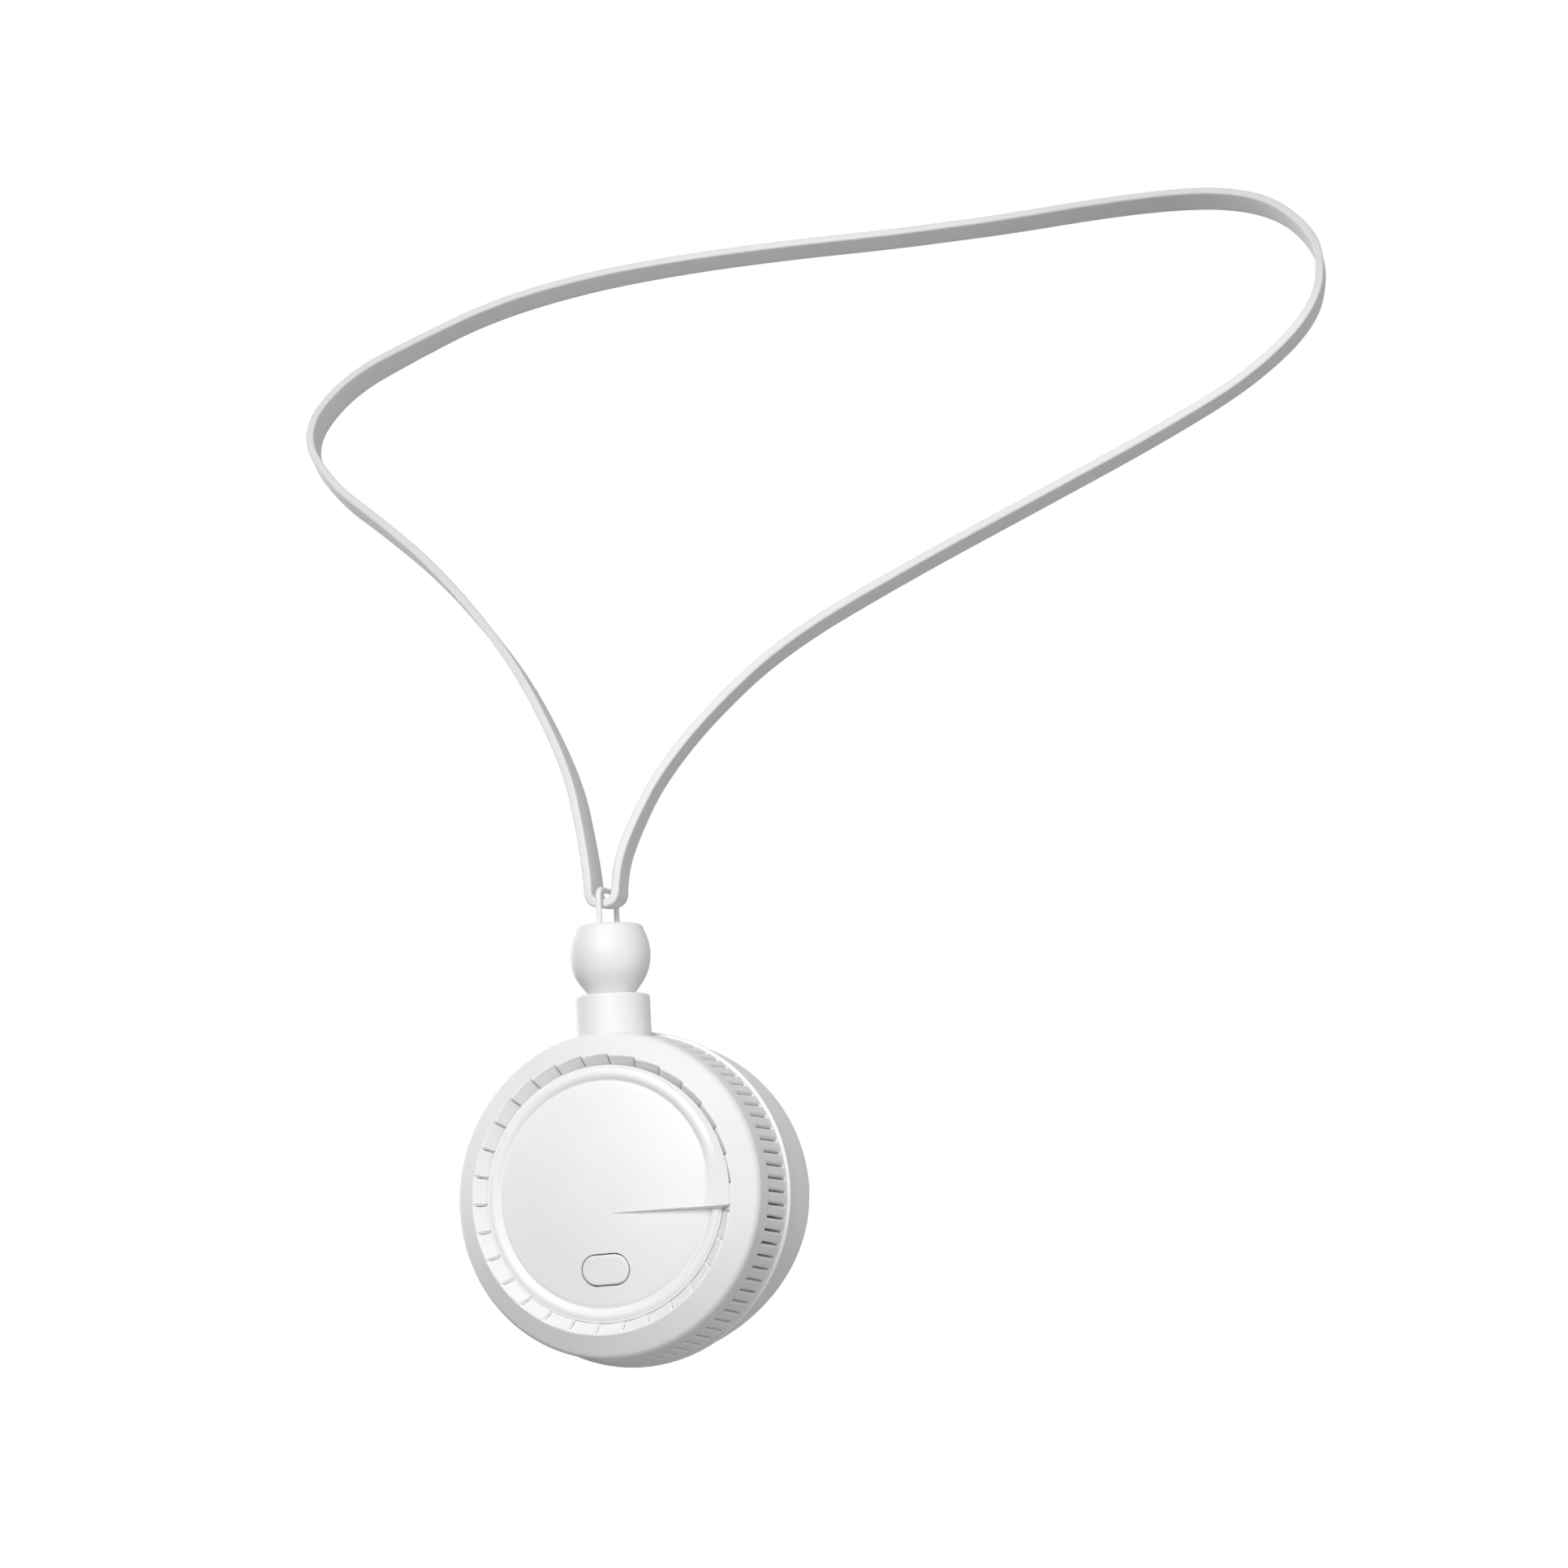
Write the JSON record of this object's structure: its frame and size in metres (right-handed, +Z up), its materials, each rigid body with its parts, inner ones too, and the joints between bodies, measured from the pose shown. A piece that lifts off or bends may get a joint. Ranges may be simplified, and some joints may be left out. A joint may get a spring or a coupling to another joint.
{
  "type": "neck fan",
  "caption": "Drum-shaped personal fan with louvred spiral front, ribbed side vents and a press button, hanging by a swivel bead and bail from a flat neck strap.",
  "frame": {"origin": "middle of the strap's inner face at the nape of the neck", "axes": "+Z up, +Y to the rear, so that the drum's front looks along -Y; +X to the right seen from the front"},
  "size_m": [0.2326, 0.2286, 0.2673],
  "materials": {
    "strap_silicone": "matt silicone",
    "bail_nylon": "smooth cord",
    "white_plastic": "satin moulding",
    "inner_plastic": "moulded",
    "steel": "plated",
    "core_iron": "dark",
    "bronze": "sintered",
    "copper": "enamelled wire",
    "board": "solder mask",
    "black_plastic": "moulded",
    "cell_foil": "foil pouch",
    "foam": "foam",
    "wire_skin": "insulated wire",
    "ribbon_film": "film",
    "clear_plastic": "clear"
  },
  "bodies": {
    "strap": {"neck_strap": "strap_silicone"},
    "hanger": {"bail_loop": "bail_nylon", "swivel_bead": "white_plastic", "swivel_pin": "steel"},
    "drum": {"neck_collar": "white_plastic", "front_bezel": "white_plastic", "spiral_cover": "white_plastic", "main_housing": "white_plastic", "trim_ring": "white_plastic", "rear_shell": "white_plastic", "inlet_shroud": "inner_plastic", "mid_frame": "inner_plastic", "frame_screws": "steel", "switch_screws": "steel", "board_screws": "steel", "usb_socket": "steel", "stator_core": "core_iron", "shaft_bearing": "bronze", "stator_coils": "copper", "motor_leads": "copper", "switch_board": "board", "circuit_board": "board", "tact_switch": "black_plastic", "controller_chip": "black_plastic", "battery_cell": "cell_foil", "battery_pad": "foam", "battery_leads": "wire_skin", "switch_ribbon": "ribbon_film", "status_lens": "clear_plastic"},
    "rotor": {"impeller": "inner_plastic", "rotor_cup": "steel", "rotor_magnet": "core_iron", "motor_shaft": "steel", "shaft_clip": "steel"},
    "button": {"power_button": "white_plastic"}
  },
  "joints": [
    {"name": "bail_swing", "type": "hinge", "parent": "strap", "child": "hanger", "pos_m": [0, -0.2146, -0.172], "axis": [1, 0, 0], "range_deg": [-20, 20]},
    {"name": "drum_swivel", "type": "hinge", "parent": "hanger", "child": "drum", "pos_m": [0, -0.2146, -0.1903], "axis": [0, 0, 1], "continuous": true},
    {"name": "impeller_spin", "type": "hinge", "parent": "drum", "child": "rotor", "pos_m": [0, -0.2125, -0.2301], "axis": [0, 1, 0], "continuous": true},
    {"name": "button_press", "type": "slide", "parent": "drum", "child": "button", "axis": [0, 1, 0], "range_m": [0, 0.0005], "stiffness_N_per_m": 400, "springref_m": -0.0005}
  ]
}
